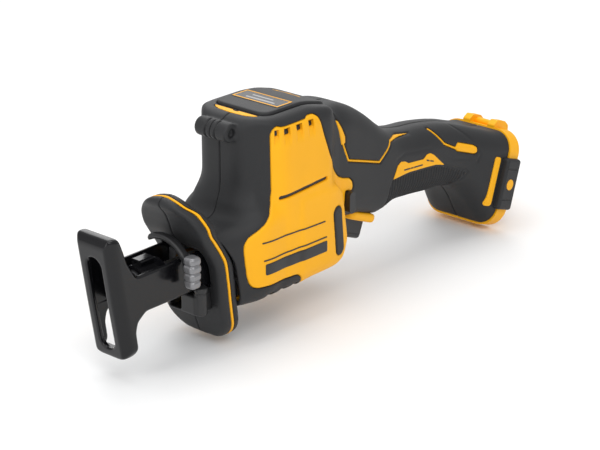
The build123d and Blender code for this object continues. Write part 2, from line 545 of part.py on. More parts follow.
# ------------------------------------------------------------------ switch, electronics, battery contacts
switch = slab(113.0, 137.0, -9, 9, 30.5, 46.0)
ship("switch_module", fillet(switch.edges().filter_by(Axis.Y), 1.5))
board = slab(152.0, 190.0, -11, 11, 19.0, 20.6)
parts_on_board = [slab(156, 164, -8, 0, 20.6, 26), slab(168, 176, -6, 6, 20.6, 24), slab(180, 186, 1, 8, 20.6, 27)]
ship("control_board", board + parts_on_board)
block = foot_plane(-21.0) * Box(26, 22, 8) & handle(SKIN + WALL + 0.2)
ship("terminal_block", block)
blades = [foot_plane(-12.0) * Pos(x, 0, 0) * Box(0.8, 7.0, 10.0) for x in (-9, -4.5, 0, 4.5, 9)]
ship("battery_contacts", Compound(blades))
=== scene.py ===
import json
import math

import bmesh
import bpy
import numpy as np
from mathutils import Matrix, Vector
from mathutils.bvhtree import BVHTree


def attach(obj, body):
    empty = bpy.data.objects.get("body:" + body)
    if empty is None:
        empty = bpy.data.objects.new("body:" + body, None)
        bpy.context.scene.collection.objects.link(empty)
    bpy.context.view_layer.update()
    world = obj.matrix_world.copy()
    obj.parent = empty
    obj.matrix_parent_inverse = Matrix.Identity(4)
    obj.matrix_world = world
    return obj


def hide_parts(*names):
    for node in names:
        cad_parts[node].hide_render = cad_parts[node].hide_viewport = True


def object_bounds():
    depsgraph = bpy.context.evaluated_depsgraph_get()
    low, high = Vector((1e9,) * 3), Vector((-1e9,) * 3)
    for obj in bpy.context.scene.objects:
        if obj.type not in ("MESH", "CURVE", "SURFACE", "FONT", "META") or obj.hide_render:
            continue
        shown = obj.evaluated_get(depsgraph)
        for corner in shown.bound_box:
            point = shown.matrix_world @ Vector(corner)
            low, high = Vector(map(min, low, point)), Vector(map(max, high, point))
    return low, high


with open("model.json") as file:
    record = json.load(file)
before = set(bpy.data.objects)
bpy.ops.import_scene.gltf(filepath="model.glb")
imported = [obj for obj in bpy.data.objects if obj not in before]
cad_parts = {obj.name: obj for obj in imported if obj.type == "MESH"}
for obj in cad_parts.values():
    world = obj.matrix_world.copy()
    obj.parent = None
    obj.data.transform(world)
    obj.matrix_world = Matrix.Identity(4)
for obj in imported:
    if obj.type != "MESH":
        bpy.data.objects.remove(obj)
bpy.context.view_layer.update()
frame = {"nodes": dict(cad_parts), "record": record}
nodes = frame["nodes"]
MM = 0.001
SHIFT = np.array((34.0, 0.0, -16.0))       # design datum to row frame, in millimetres


def at(x, y, z):
    """A datum point in millimetres as a row-frame point in metres."""
    return Vector(((x + SHIFT[0]) * MM, y * MM, (z + SHIFT[2]) * MM))


# ------------------------------------------------------------------ distance fields, in datum millimetres
class Field:
    """A box of sample points. Distances are negative inside."""

    def __init__(self, lo, hi, step):
        self.lo, self.step = np.array(lo, np.float32), step
        count = [int(round((b - a) / step)) + 1 for a, b in zip(lo, hi)]
        axes = [(a + step * np.arange(n)).astype(np.float32) for a, n in zip(lo, count)]
        self.x, self.y, self.z = axes[0][:, None, None], axes[1][None, :, None], axes[2][None, None, :]


def smax(a, b, k):
    """Intersection with its edge rounded over about k."""
    h = np.maximum(k - np.abs(a - b), 0) / k
    return np.maximum(a, b) + h * h * (k / 4)


def smin(a, b, k):
    """Union with its crease filled over about k."""
    h = np.maximum(k - np.abs(a - b), 0) / k
    return np.minimum(a, b) - h * h * (k / 4)


def polygon(px, pz, points):
    """Signed distance in a plane to a closed outline."""
    px, pz = np.broadcast_arrays(px, pz)
    best = np.full(px.shape, 1e9, np.float32)
    inside = np.zeros(px.shape, bool)
    for (ax, az), (bx, bz) in zip(points, points[1:] + points[:1]):
        ex, ez = bx - ax, bz - az
        wx, wz = px - ax, pz - az
        t = np.clip((wx * ex + wz * ez) / (ex * ex + ez * ez), 0, 1)
        best = np.minimum(best, (wx - ex * t) ** 2 + (wz - ez * t) ** 2)
        if ez:
            inside ^= ((az > pz) != (bz > pz)) & (px < ex * (pz - az) / ez + ax)
    return np.where(inside, -np.sqrt(best), np.sqrt(best)).astype(np.float32)


def path(px, pz, points, radius):
    """Signed distance to a bent line of the given half width."""
    best = 1e9
    for (ax, az), (bx, bz) in zip(points, points[1:]):
        ex, ez = bx - ax, bz - az
        wx, wz = px - ax, pz - az
        t = np.clip((wx * ex + wz * ez) / (ex * ex + ez * ez), 0, 1)
        best = np.minimum(best, (wx - ex * t) ** 2 + (wz - ez * t) ** 2)
    return np.sqrt(best) - radius


def blur(f, sigma, step, axes):
    """Gaussian blur, which rounds both kinds of corner."""
    reach = int(math.ceil(2.5 * sigma / step))
    weight = np.exp(-0.5 * (np.arange(-reach, reach + 1) * step / sigma) ** 2)
    weight = (weight / weight.sum()).astype(np.float32)
    for axis in axes:
        pad = [(0, 0)] * f.ndim
        pad[axis] = (reach, reach)
        wide = np.pad(f, pad, mode="reflect", reflect_type="odd")
        n = f.shape[axis]
        out = np.zeros_like(f)
        for k, w in enumerate(weight):
            cut = [slice(None)] * f.ndim
            cut[axis] = slice(k, k + n)
            out += w * wide[tuple(cut)]
        f = out
    return f


def rounded(u, v, half_u, half_v, r):
    """Rounded rectangle about the origin of two coordinates."""
    qu, qv = np.abs(u) - (half_u - r), np.abs(v) - (half_v - r)
    return np.hypot(np.maximum(qu, 0), np.maximum(qv, 0)) + np.minimum(np.maximum(qu, qv), 0) - r


def span(u, lo, hi):
    """Signed distance to the slab between two values."""
    return np.maximum(lo - u, u - hi)


def through(xs, ys, q):
    """Smooth curve through stations, with straight ends."""
    xs, ys = np.array(xs, float), np.array(ys, float)
    slope = np.gradient(ys, xs)
    q = np.asarray(q, float)
    i = np.clip(np.searchsorted(xs, q) - 1, 0, len(xs) - 2)
    run = xs[i + 1] - xs[i]
    t = (q - xs[i]) / run
    s = np.clip(t, 0, 1)
    body = ((2 * s**3 - 3 * s**2 + 1) * ys[i] + (s**3 - 2 * s**2 + s) * run * slope[i]
            + (-2 * s**3 + 3 * s**2) * ys[i + 1] + (s**3 - s**2) * run * slope[i + 1])
    body = body + (t - s) * run * np.where(t > 1, slope[i + 1], slope[i])
    return body.astype(np.float32)


def net(field, f):
    """Surface of the zero level as points and quads, with each point moved onto the level."""
    f = np.ascontiguousarray(f, np.float32)
    inside = f < 0
    shape = f.shape
    cells = np.array(shape) - 1
    total = np.zeros((int(np.prod(cells)), 4), np.float32)
    quads = []
    for axis in range(3):
        a = [slice(None)] * 3
        b = [slice(None)] * 3
        a[axis], b[axis] = slice(None, -1), slice(1, None)
        cross = inside[tuple(a)] != inside[tuple(b)]
        idx = np.argwhere(cross)
        others = [k for k in range(3) if k != axis]
        keep = np.all([(idx[:, k] > 0) & (idx[:, k] < shape[k] - 1) for k in others], axis=0)
        idx = idx[keep]
        nxt = idx.copy()
        nxt[:, axis] += 1
        fa, fb = f[tuple(idx.T)], f[tuple(nxt.T)]
        point = idx.astype(np.float32)
        point[:, axis] += fa / (fa - fb)
        ring = []
        for du, dv in ((1, 1), (0, 1), (0, 0), (1, 0)):
            cell = idx.copy()
            cell[:, others[0]] -= du
            cell[:, others[1]] -= dv
            flat = np.ravel_multi_index(tuple(cell.T), cells)
            ring.append(flat)
            for c in range(3):
                total[:, c] += np.bincount(flat, point[:, c], len(total)).astype(np.float32)
            total[:, 3] += np.bincount(flat, minlength=len(total)).astype(np.float32)
        quad = np.stack(ring, 1)
        flip = (fa > 0) ^ (axis == 1)
        quad[flip] = quad[flip][:, ::-1]
        quads.append(quad)
    quads = np.concatenate(quads)
    used = np.unique(quads)
    number = np.full(len(total), -1, np.int64)
    number[used] = np.arange(len(used))
    points = total[used, :3] / total[used, 3:]
    faces = number[quads]

    def sample(p):
        p = np.clip(p, 0, np.array(shape) - 1.001)
        i = p.astype(int)
        t = (p - i).astype(np.float32)
        out = 0
        for dx in (0, 1):
            for dy in (0, 1):
                for dz in (0, 1):
                    w = ((t[:, 0] if dx else 1 - t[:, 0]) * (t[:, 1] if dy else 1 - t[:, 1])
                         * (t[:, 2] if dz else 1 - t[:, 2]))
                    out = out + w * f[i[:, 0] + dx, i[:, 1] + dy, i[:, 2] + dz]
        return out

    start = points.copy()
    for _ in range(2):
        value = sample(points)
        nudges = np.eye(3, dtype=np.float32) * 0.5
        grad = np.stack([sample(points + e) - sample(points - e) for e in nudges], 1)
        size = (grad**2).sum(1)
        step = np.where(size > 0.55 * field.step**2, -value / np.maximum(size, 1e-9), 0)
        move = np.clip(step[:, None] * grad, -0.5, 0.5)
        points = np.clip(points + move, start - 0.7, start + 0.7)
    return points * field.step + field.lo, faces


def mesh_object(name, points, faces, slot, body, mirror=False, replace=()):
    """A piece made from datum points, riding on a body."""
    points = np.asarray(points, float)
    if mirror:
        points = points * (1, -1, 1)
        faces = [tuple(f)[::-1] for f in faces]
    mesh = bpy.data.meshes.new(name)
    mesh.from_pydata(((points + SHIFT) * MM).tolist(), [], [list(map(int, f)) for f in faces])
    mesh.validate()
    mesh.shade_smooth()
    obj = bpy.data.objects.new(name, mesh)
    bpy.context.scene.collection.objects.link(obj)
    obj.data.materials.append(MATS[slot])
    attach(obj, body)
    if replace:
        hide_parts(*replace)
    return obj


def cast(name, field, f, slot, body, mirror=False, replace=()):
    """A piece whose surface is the zero level of a distance field."""
    points, faces = net(field, f)
    return mesh_object(name, points, faces, slot, body, mirror, replace)


def settle(obj, degrees=40):
    """Turns all faces outwards and shades sharp edges as sharp."""
    bm = bmesh.new()
    bm.from_mesh(obj.data)
    bmesh.ops.recalc_face_normals(bm, faces=bm.faces)
    for e in bm.edges:
        e.smooth = e.calc_face_angle(0) < math.radians(degrees)
    bm.to_mesh(obj.data)
    bm.free()


# ------------------------------------------------------------------ materials
def material(name, color, rough, metal=0.0, coat=0.0, grain=0.0, grain_scale=900.0, patch=0.06,
             patch_scale=30.0, spec=0.5, streak=None):
    """Principled surface with a procedural grain bump and a faint change of roughness over its area."""
    mat = bpy.data.materials.new(name)
    mat.use_nodes = True
    nt = mat.node_tree
    p = nt.nodes["Principled BSDF"]
    p.inputs["Base Color"].default_value = (*color, 1)
    p.inputs["Metallic"].default_value = metal
    p.inputs["Coat Weight"].default_value = coat
    p.inputs["Coat Roughness"].default_value = 0.12
    p.inputs["Specular IOR Level"].default_value = spec
    coords = nt.nodes.new("ShaderNodeTexCoord")
    source = coords.outputs["Object"]
    if streak:
        stretch = nt.nodes.new("ShaderNodeMapping")
        stretch.inputs["Scale"].default_value = streak
        nt.links.new(source, stretch.inputs["Vector"])
        source = stretch.outputs["Vector"]
    wide = nt.nodes.new("ShaderNodeTexNoise")
    wide.inputs["Scale"].default_value = patch_scale
    wide.inputs["Detail"].default_value = 4.0
    nt.links.new(coords.outputs["Object"], wide.inputs["Vector"])
    spread = nt.nodes.new("ShaderNodeMapRange")
    spread.inputs["To Min"].default_value = max(rough - patch, 0.02)
    spread.inputs["To Max"].default_value = min(rough + patch, 1.0)
    nt.links.new(wide.outputs["Fac"], spread.inputs["Value"])
    nt.links.new(spread.outputs["Result"], p.inputs["Roughness"])
    shade = nt.nodes.new("ShaderNodeMix")
    shade.data_type = "RGBA"
    shade.inputs[6].default_value = (*[c * 0.9 for c in color], 1)
    shade.inputs[7].default_value = (*[min(c * 1.08, 1) for c in color], 1)
    nt.links.new(wide.outputs["Fac"], shade.inputs[0])
    nt.links.new(shade.outputs[2], p.inputs["Base Color"])
    if grain:
        fine = nt.nodes.new("ShaderNodeTexNoise")
        fine.inputs["Scale"].default_value = grain_scale
        fine.inputs["Detail"].default_value = 3.0
        nt.links.new(source, fine.inputs["Vector"])
        bump = nt.nodes.new("ShaderNodeBump")
        bump.inputs["Strength"].default_value = grain
        bump.inputs["Distance"].default_value = 0.0002
        nt.links.new(fine.outputs["Fac"], bump.inputs["Height"])
        nt.links.new(bump.outputs["Normal"], p.inputs["Normal"])
        if coat:
            nt.links.new(bump.outputs["Normal"], p.inputs["Coat Normal"])
    return mat


MATS = {
    "yellow_nylon": material("yellow_nylon", (0.95, 0.44, 0.004), 0.50, grain=0.10, grain_scale=2600,
                             spec=0.28),
    "grey_rubber": material("grey_rubber", (0.018, 0.0185, 0.020), 0.55, grain=0.35, grain_scale=2200,
                            spec=0.36),
    "black_plastic": material("black_plastic", (0.014, 0.014, 0.015), 0.42, grain=0.2, grain_scale=2600),
    "black_steel": material("black_steel", (0.004, 0.004, 0.005), 0.2, coat=0.15, grain=0.05,
                            grain_scale=260, spec=0.28),
    "rod_steel": material("rod_steel", (0.52, 0.51, 0.49), 0.32, metal=1.0, grain=0.12, grain_scale=700,
                          streak=(1, 14, 14)),
    "dark_steel": material("dark_steel", (0.10, 0.10, 0.105), 0.36, metal=1.0, grain=0.1, grain_scale=900),
    "lever_grey": material("lever_grey", (0.23, 0.23, 0.24), 0.34, metal=0.6, grain=0.12, grain_scale=1200),
    "cast_alloy": material("cast_alloy", (0.5, 0.5, 0.52), 0.5, metal=1.0, grain=0.4, grain_scale=1500),
    "bush_bronze": material("bush_bronze", (0.45, 0.28, 0.1), 0.45, metal=1.0, grain=0.3, grain_scale=2400),
    "winding_copper": material("winding_copper", (0.6, 0.22, 0.07), 0.3, metal=1.0, grain=0.3,
                               grain_scale=900),
    "lamination": material("lamination", (0.25, 0.25, 0.27), 0.4, metal=1.0, grain=0.5, grain_scale=700,
                           streak=(1, 1, 9)),
    "circuit_green": material("circuit_green", (0.02, 0.12, 0.05), 0.35, grain=0.1, grain_scale=1800),
    "contact_tin": material("contact_tin", (0.6, 0.6, 0.57), 0.25, metal=1.0, grain=0.1, grain_scale=900),
}


def lens_material():
    mat = bpy.data.materials.new("lens_clear")
    mat.use_nodes = True
    nt = mat.node_tree
    p = nt.nodes["Principled BSDF"]
    p.inputs["Roughness"].default_value = 0.12
    p.inputs["Transmission Weight"].default_value = 0.45
    ramp = nt.nodes.new("ShaderNodeTexNoise")
    ramp.inputs["Scale"].default_value = 400.0
    mix = nt.nodes.new("ShaderNodeMix")
    mix.data_type = "RGBA"
    mix.inputs[6].default_value = (0.9, 0.62, 0.08, 1)
    mix.inputs[7].default_value = (1.0, 0.85, 0.35, 1)
    nt.links.new(ramp.outputs["Fac"], mix.inputs[0])
    nt.links.new(mix.outputs[2], p.inputs["Base Color"])
    return mat


MATS["lens_clear"] = lens_material()
slot_of = {s["node"]: s["material_slot"] for s in frame["record"]["subparts"]}


def dress(obj, slot, bevel=0.0, angle=35.0, segments=2):
    """Material, smooth shading and a small rounded edge."""
    obj.data.materials.clear()
    obj.data.materials.append(MATS[slot])
    for poly in obj.data.polygons:
        poly.use_smooth = True
        poly.material_index = 0
    weld = obj.modifiers.new("weld", "WELD")
    weld.merge_threshold = 0.00002
    if bevel:
        mod = obj.modifiers.new("edge", "BEVEL")
        mod.width = bevel * MM
        mod.segments = segments
        mod.limit_method = "ANGLE"
        mod.angle_limit = math.radians(angle)
        mod.use_clamp_overlap = True
        mod.harden_normals = False
        mod.miter_outer = "MITER_ARC"
    keep = obj.modifiers.new("normals", "WEIGHTED_NORMAL")
    keep.keep_sharp = True
    keep.weight = 60


BEVELS = {"foot_rim": 0.9, "lock_button": 0.5, "clamp_sleeve": 0.4}      # every other CAD node has the plain one
PLAIN_BEVEL = 0.25
for name, obj in nodes.items():
    dress(obj, slot_of[name], BEVELS.get(name, PLAIN_BEVEL))


# ------------------------------------------------------------------ outer form of the body (left half)
H = 0.5                                    # grid step of the body
SEAM = 0.06                                # half the gap between the two halves
TOWER_FRONT, TOWER_REAR, TOWER_TOP, BELLY, HALF = 28.5, 97.0, 86.5, -9.5, 28.5
SKIN, WALL = 1.7, 4.2
body = Field((-2, -30.5, -36), (262, 1.5, 90), H)
X, Y, Z = body.x, body.y, body.z


def tower_form():
    side = [(TOWER_FRONT, BELLY), (62, BELLY), (69, -6.5), (84, -6.5), (94, -2.0), (TOWER_REAR, 9),
            (TOWER_REAR, 76), (89, 81.5), (70, TOWER_TOP), (36, TOWER_TOP), (TOWER_FRONT, 82)]
    plan = [(TOWER_FRONT, -9), (31, -14), (42.5, -24.8), (50, -HALF), (83, -HALF),
            (TOWER_REAR, -17), (TOWER_REAR, 17), (83, HALF), (50, HALF), (42.5, 24.8), (31, 14),
            (TOWER_FRONT, 9)]
    s = blur(polygon(X[:, :, 0], Z[0], side), 2.2, H, (0, 1))[:, None, :]
    p = blur(polygon(X[:, :, 0], Y[0, :, 0][None, :], plan), 2.0, H, (0, 1))[:, :, None]
    mid = (TOWER_TOP + BELLY) / 2
    front = rounded(Y, Z - mid, HALF, (TOWER_TOP - BELLY) / 2, 11.0)
    return smax(smax(s, p, 4.0), front, 2.5)


def heel_form():
    """Rear lower corner of the gear case, wider than the tower above it."""
    side = [(60, BELLY), (69, -6.5), (88, -6.5), (97, -3.0), (101, 6), (95.5, 34), (90, 40), (60, 40)]
    s = blur(polygon(X[:, :, 0], Z[0], side), 1.6, H, (0, 1))[:, None, :]
    facet = (np.abs(Y) - HALF + (X - 85) * 0.2) / math.hypot(1, 0.2)
    mid = (TOWER_TOP + BELLY) / 2
    front = rounded(Y, Z - mid, HALF, (TOWER_TOP - BELLY) / 2, 11.0)
    return smax(smax(s, facet, 3.0), front, 1.0)


def nose_form():
    at_x = [3.0, 14.0, 24.0, 34.0, 41.0, 47.0, 54.0]
    low = through(at_x, [-8.5, -9.2, -9.5, -9.5, -9.2, -7.5, -3.0], X)
    high = through(at_x, [32.0, 33.0, 35.5, 40.5, 42.5, 42.0, 38.0], X)
    wide = through(at_x, [19.0, 21.0, 25.0, 27.8, 28.0, 27.0, 22.0], X)
    r = through(at_x, [7, 8, 9, 10, 11, 11, 11], X)
    return np.maximum(rounded(Y, Z - (low + high) / 2, wide, (high - low) / 2, r), X - 56)


FOOT_TILT, FOOT_X, FOOT_Z = math.radians(18.0), 246.5, -2.5
COS, SIN = math.cos(FOOT_TILT), math.sin(FOOT_TILT)
STATIONS = [(86.0, 16.0, 76.0, 20.8, 12, 0), (92.0, 15.0, 76.0, 20.8, 12, 0), (105.0, 13.0, 76.4, 20.4, 13, 0),
            (118.0, 9.0, 72.0, 19.2, 14, 0), (130.0, 5.4, 65.0, 18.2, 14, 0), (142.0, 4.0, 56.0, 17.8, 14, 0),
            (153.0, 6.4, 49.0, 17.4, 14, 0), (167.0, 5.8, 45.2, 17.3, 14, 0), (184.0, 4.0, 43.4, 17.4, 14, 0),
            (200.0, 2.6, 40.6, 17.8, 14, 0), (213.0, -0.5, 36.5, 19.4, 13, 7.0),
            (224.0, -10.5, 32.0, 22.3, 12, 13.0), (232.0, -20.5, 29.0, 24.2, 11, 17.0),
            (FOOT_X - 9 * COS, 0.28 - 27.5, 0.28 + 27.5, 25.0, 11, 18.0),
            (FOOT_X, -2.5 - 27.5, -2.5 + 27.5, 25.0, 11, 18.0)]


def handle_frame(px, pz):
    """Height in the section plane and the section's measures, for points seen from the side."""
    at_x, low, high, wide, r, tilt = (list(v) for v in zip(*STATIONS))
    mid = [(a + b) / 2 for a, b in zip(low, high)]
    tall = [(b - a) / 2 for a, b in zip(low, high)]
    px, pz = np.broadcast_arrays(px, pz)
    u = px.astype(np.float32).copy()
    for _ in range(12):
        t = np.radians(through(at_x, tilt, u))
        u = u + 0.8 * ((px - u) * np.cos(t) - (pz - through(at_x, mid, u)) * np.sin(t))
    u = np.clip(u, 80, 262)
    t = np.radians(through(at_x, tilt, u))
    v = (px - u) * np.sin(t) + (pz - through(at_x, mid, u)) * np.cos(t)
    return v, through(at_x, tall, u), through(at_x, wide, u), through(at_x, r, u)


V, TALL, WIDE, ROUND = (a[:, None, :] for a in handle_frame(X[:, :, 0], Z[0]))
Q = (X - FOOT_X) * COS - (Z - FOOT_Z) * SIN      # along the foot's normal, zero at the battery face


def handle_form():
    return np.maximum(rounded(Y, V, WIDE, TALL, ROUND), 88 - X)


def guard_front(z):
    """Where the guard's front face lies at a height, and the cosine of its lean."""
    line = [(-30, 15.5), (-22, 12.0), (-16, 9.8), (-5, 8.0), (8, 6.5), (18, 4.5), (23.5, 1.5), (29, -2.0),
            (34, -5.0), (40, -7.2), (45.5, -9.8), (50, -13.2), (60, -13.5)]
    zs, xs = zip(*line)
    slope = (through(zs, xs, z + 0.5) - through(zs, xs, z - 0.5))
    return through(zs, xs, z), 1 / np.sqrt(1 + slope**2)


GUARD_DEPTH = 11.7
# the nose flows into the tower most softly in front and on top
soft_front = 13.0 * np.clip((Z - 28) / 14, 0, 1) * np.clip((44 - X) / 10, 0, 1)
soft_front = soft_front * np.clip((28 - np.abs(Y)) / 9, 0.2, 1) + 2.5
outer = smin(tower_form(), nose_form(), soft_front)
outer = smin(outer, handle_form(), 5.0)
outer = smin(outer, heel_form(), 1.2)
outer = blur(outer, 1.0, H, (0, 1, 2))

# hinge boss on the front
BOSS_X, BOSS_Z, BOSS_R = 27.2, 79.6, 5.0
boss = smax(np.hypot(X - BOSS_X, Z - BOSS_Z) - BOSS_R, np.abs(Y) - 10.8, 1.5)
outer = smin(outer, boss, 1.6)
outer = smax(outer, -smax(np.hypot(X - BOSS_X, Z - BOSS_Z) - 2.4, 8.6 - np.abs(Y), 0.8), 0.5)
boss_r = np.hypot(X - BOSS_X, Z - BOSS_Z)
ring = np.maximum(span(boss_r, BOSS_R - 0.9, BOSS_R + 0.8), X - 28)
outer = smax(outer, -np.maximum(np.abs(np.abs(Y) - 3.2) - 0.4, ring), 0.5)

# ------------------------------------------------------------------ what lies on the sides, as x and z
PX, PZ = X[:, :, 0], Z[0]
panel = [(41.5, 78.4), (42.4, 80.8), (44.4, 82.3), (45.8, 82.0), (46.8, 81.3), (64.6, 81.5), (66.0, 82.6),
         (70.6, 82.6), (73.4, 81.0), (74.8, 78.3), (77.9, 69.4), (82.5, 58.2), (88.5, 49.6), (93.6, 43.8),
         (97.1, 40.4), (101.2, 38.4), (106.5, 37.0), (109.3, 34.6), (110.1, 31.2), (109.0, 28.6), (103.2, 30.8),
         (102.8, -8.5), (62.2, -8.5), (61.2, -4.9), (59.3, -1.9), (57.4, -0.6), (54.6, -0.1), (36.9, 0.2),
         (29.2, 0.5), (25.8, 1.6), (23.8, 4.2), (22.6, 8.6), (21.2, 22.9), (21.7, 26.1), (23.9, 28.8),
         (28.9, 31.2), (33.7, 33.9), (38.1, 37.3), (41.0, 41.6), (41.8, 47.9), (41.6, 64.2)]
front_line = [(97.5, 69.0), (101.6, 56.0), (105.8, 46.8), (134.4, 37.6), (138.0, 40.2), (145.5, 46.2),
              (169.0, 43.6), (170.5, 45.2), (164.0, 52.0)]
rear_line = [(180.0, 49.5), (187.0, 40.6), (193.0, 32.4), (204.0, 26.6), (217.0, 22.6)]
blade_mark = [(95.6, 71.0), (98.2, 70.4), (103.0, 60.8), (103.0, 57.0), (99.6, 56.6)]
rear_mark = [(201.0, 28.0), (204.5, 30.6), (216.4, 26.4), (219.0, 24.6), (219.0, 21.6), (216.8, 20.9),
             (203.0, 25.6)]
badge = [(146.4, 24.4), (148.6, 28.2), (150.0, 31.0), (153.0, 32.8), (157.0, 31.9), (159.5, 30.2), (173.0, 28.9),
         (176.0, 30.9), (179.0, 30.9), (182.5, 28.8), (191.5, 20.8), (184.0, 22.9), (173.0, 23.9), (160.0, 24.9)]
rear_seam = [(86.0, 85.0), (91.0, 79.5), (95.0, 75.7), (97.2, 71.0)]
grip_end = [(191.5, 20.8), (199.0, 17.2), (209.6, 13.4), (211.9, 11.4), (208.6, 7.0), (199.0, 4.4)]
flare_arc = [(208.0, 37.5), (211.0, 34.5), (218.0, 26.6), (221.0, 19.8), (218.7, 16.0)]
ribbed = [(145.0, 24.6), (160.0, 24.2), (173.0, 23.2), (184.0, 22.2), (191.5, 20.0), (199.0, 16.6),
          (209.4, 12.9), (211.2, 11.3), (208.2, 7.4), (199.0, 0.0), (140.0, -2.0), (139.0, 6.0), (141.5, 15.0)]

VENTS = ((43.4, 45.6), (48.2, 52.3), (56.8, 61.2), (66.0, 69.8))
window = blur(polygon(PX, PZ, panel), 0.7, H, (0, 1))
window = np.minimum(window, polygon(PX, PZ, blade_mark))
window = np.minimum(window, polygon(PX, PZ, rear_mark))
for line in (front_line, rear_line):
    window = np.minimum(window, path(PX, PZ, line, 0.75))
window = np.where(PX > 97, np.maximum(window, -40), window)[:, None, :]
side_only = np.where(X > 92, 8.5 - np.abs(Y), 12.0 - np.abs(Y))
window = np.maximum(window, side_only)

RIB_PITCH, RIB_DEPTH = 2.3, 1.15
ribbed_zone = blur(polygon(PX, PZ, ribbed), 0.6, H, (0, 1))[:, None, :]
fade = np.clip(-ribbed_zone / 1.0, 0, 1)
wave = 0.5 - 0.5 * np.cos(2 * math.pi * (X - 0.12 * Z) / RIB_PITCH)
skin = outer + RIB_DEPTH * fade * wave ** 1.2 + 0.1 * fade


def groove(f, line, wide, deep):
    """Sinks a soft line into the skin."""
    d = path(PX, PZ, line, 0.0)[:, None, :]
    return f + deep * np.exp(-(d / wide) ** 2)


for line, wide, deep in ((rear_seam, 0.7, 0.9), (grip_end, 0.6, 0.7), (flare_arc, 0.8, 0.45)):
    skin = groove(skin, line, wide, deep)
raised = [(150.0, 34.5), (157.0, 36.4), (172.0, 34.2), (181.0, 33.0), (191.0, 26.5), (200.0, 22.0),
          (213.0, 19.0)]
lower_edge = path(PX, PZ, raised, 0.0)[:, None, :]
skin = skin + 0.25 * np.exp(-(lower_edge / 0.9) ** 2)

# openings shared by both layers
plane_cos = guard_front(Z)
behind_guard = (plane_cos[0] + GUARD_DEPTH + 0.15 - X) * plane_cos[1]
arm_room = np.maximum(np.maximum(np.abs(Y) - 13.9, span(Z, 3.6, 26.4)), X - 40)
TILT = math.radians(22.0)
tx = (X - 125.0) * math.cos(TILT) - (Z - 5.2) * math.sin(TILT)
tz = (X - 125.0) * math.sin(TILT) + (Z - 5.2) * math.cos(TILT)
trigger_room = np.maximum(rounded(tx, Y, 10.9, 8.4, 3.4), tz - 24)
collar_room = np.maximum(rounded(tx, Y, 13.1, 14.6, 6.0), span(tz, -0.1, 5.1))
lock_room = np.maximum(rounded(X - 105.4, Z - 24.0, 2.7, 6.4, 2.65), -60 - Y)
rooms = np.minimum(np.minimum(arm_room, trigger_room), np.minimum(collar_room, lock_room))
rooms = smax(-rooms, behind_guard, 0.4)

# top cap and what is let into the top
cap_plan = blur(rounded(X - 67.5, Y, 24.0, 18.0, 6.0)[:, :, 0], 0.8, H, (0, 1))
cap_zone = np.maximum(cap_plan[:, :, None], 70 - Z)
CAP_RISE = 1.3
under_cap = np.maximum(cap_zone - 0.35, -1.3 - outer)
crescent = [(41.9, -14.4), (41.9, -2.0), (40.7, -1.3), (40.7, 1.3), (41.9, 2.0), (41.9, 14.4), (40.4, 13.0),
            (38.9, 9.0), (38.3, 3.0), (38.3, -3.0), (38.9, -9.0), (40.4, -13.0)]
inlay_zone = np.maximum(polygon(X[:, :, 0], Y[0, :, 0][None, :], crescent)[:, :, None], 80 - Z)

rubber = smax(skin, -SKIN - outer, 0.3)
rubber = smax(rubber, -window, 0.9)
rubber = smax(rubber, rooms, 0.6)
rubber = smax(rubber, -under_cap, 0.6)
rubber = smax(rubber, -np.maximum(inlay_zone - 0.25, -1.5 - outer), 0.5)
rubber = smax(rubber, Q + 9.0, 0.8)
rubber = smax(rubber, Y + SEAM, 0.7)
for cx, half in ((39.5, 2.8), (49.2, 2.5), (58.0, 2.2)):
    notch = np.maximum(np.maximum(np.abs(X - cx) - half, Z + 5.6), span(Y, -40, -17.5))
    rubber = smax(rubber, -notch, 0.5)

yellow = np.maximum(np.minimum(smax(outer + 0.10, window + 0.12, 0.9), outer + SKIN + 0.02), -WALL - outer)
yellow = np.maximum(yellow, rooms)
yellow = np.maximum(yellow, behind_guard + 4.0)
yellow = np.maximum(yellow, Q + 9.0)
yellow = np.maximum(yellow, Y + SEAM)
slot_room = np.maximum(path(X[:, :, 0], Z[0], [(46.3, 44.1), (79.4, 46.0)], 1.0)[:, None, :], -3.0 - outer)
yellow = smax(yellow, -slot_room, 0.8)
for x0, x1 in VENTS:
    deep = np.where(Z > 76.7, 3.6, np.clip(1.5 * (Z - 71.2) / 5.4, -0.5, 1.5))
    pocket = np.maximum(np.maximum(span(X, x0, x1), span(Z, 69.0, 80.0)), -deep - outer)
    pocket = np.maximum(pocket, side_only)
    yellow = smax(yellow, -pocket, 0.4)
    rubber = np.maximum(rubber, -np.maximum(pocket, span(Z, 76.4, 80.2)))
pill = path(PX, PZ, [(88.5, 24.4), (90.9, 3.9)], 3.75)[:, None, :]
pill = np.maximum(pill, 12 - np.abs(Y))
yellow = smax(yellow, -np.maximum(pill - 0.15, -1.2 - outer), 0.4)

screw_spots = [(37.0, 78.2), (89.0, 74.0), (108.0, 62.0), (150.0, 13.0), (197.0, 34.0), (216.0, 1.0)]
screws = 1e9
for sx, sz in screw_spots:
    screws = np.minimum(screws, np.hypot(X - sx, Z - sz) - 2.9)
screws = np.maximum(screws, 10 - np.abs(Y))

for node, f, slot in (("overmold", rubber, "grey_rubber"), ("shell", yellow, "yellow_nylon")):
    cast(node + "_form_left", body, f, slot, "housing", replace=(node + "_left",))
    cast(node + "_form_right", body, smax(f, -screws, 0.5), slot, "housing", True, (node + "_right",))


pad = smax(smax(outer - 0.45, pill, 0.9), -1.05 - outer, 0.2)
cast("pad_left", body, pad, "grey_rubber", "housing", replace=("corner_pad_left",))
cast("pad_right", body, pad, "grey_rubber", "housing", True, ("corner_pad_right",))


